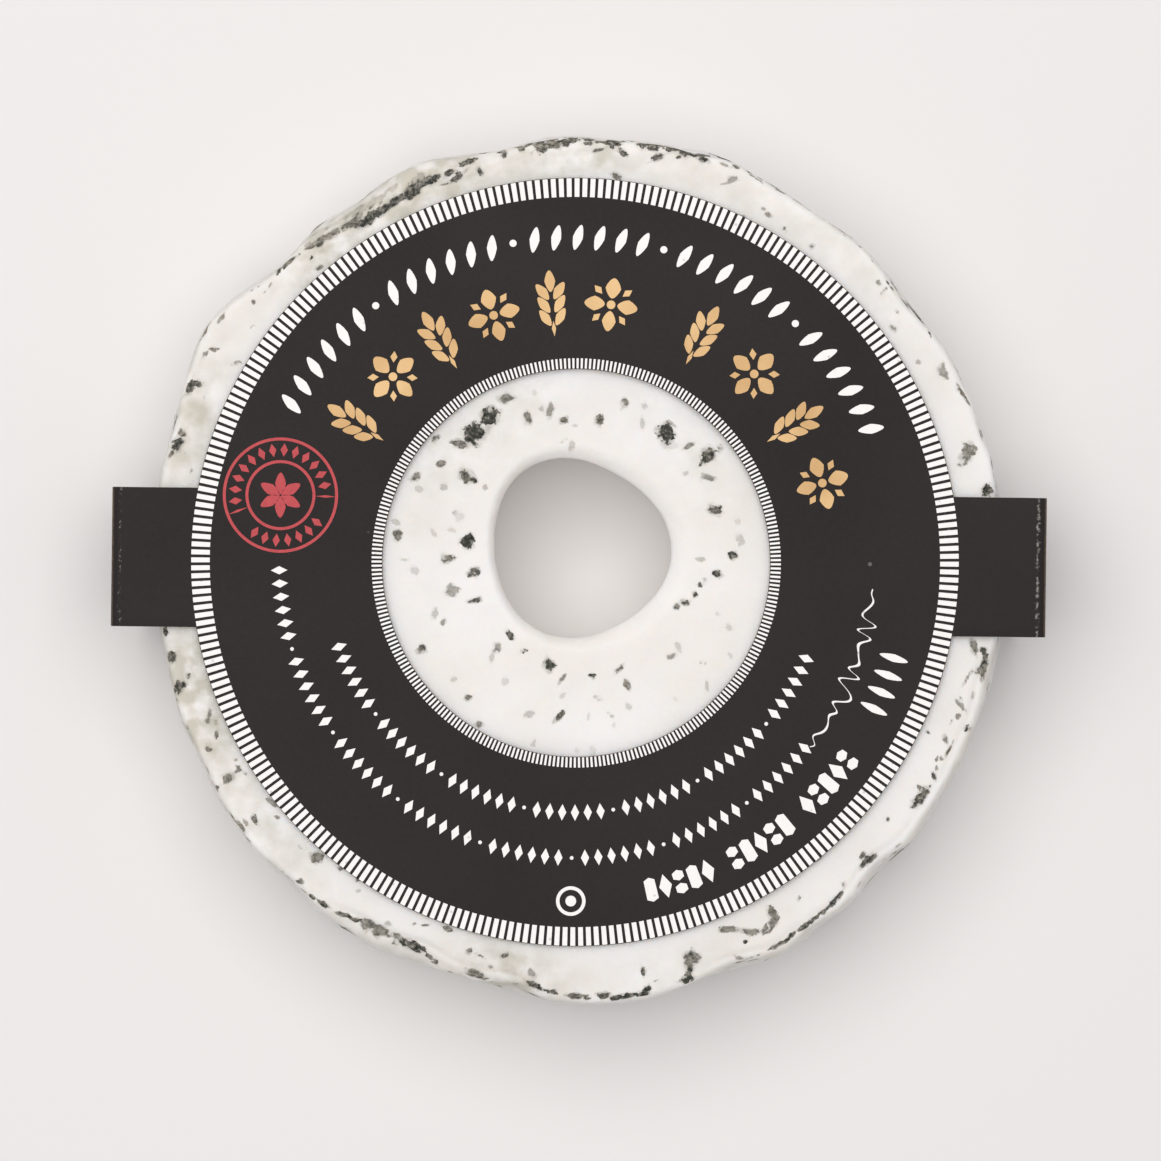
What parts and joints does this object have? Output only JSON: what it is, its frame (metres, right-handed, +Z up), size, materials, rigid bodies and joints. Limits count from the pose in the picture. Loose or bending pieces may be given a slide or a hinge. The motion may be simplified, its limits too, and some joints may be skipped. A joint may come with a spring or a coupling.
{
  "type": "goat cheese wheel",
  "caption": "Ring-shaped soft goat cheese with an ash-flecked white rind, topped by a round black card label with a window and folded straps.",
  "frame": {"origin": "on the table under the middle of the wheel", "axes": "+Z up through the wheel, +X along the label's straps, +Y towards the top of the label"},
  "size_m": [0.1076, 0.1009, 0.0205],
  "materials": {
    "ash_rind": "soft white goat cheese rind with flecks of dark vegetable ash, slightly moist and translucent",
    "black_card": "satin printed charcoal-black card with white, gold and red print"
  },
  "bodies": {
    "root": {"goat_cheese_ring": "ash_rind", "card_label": "black_card"}
  },
  "joints": []
}
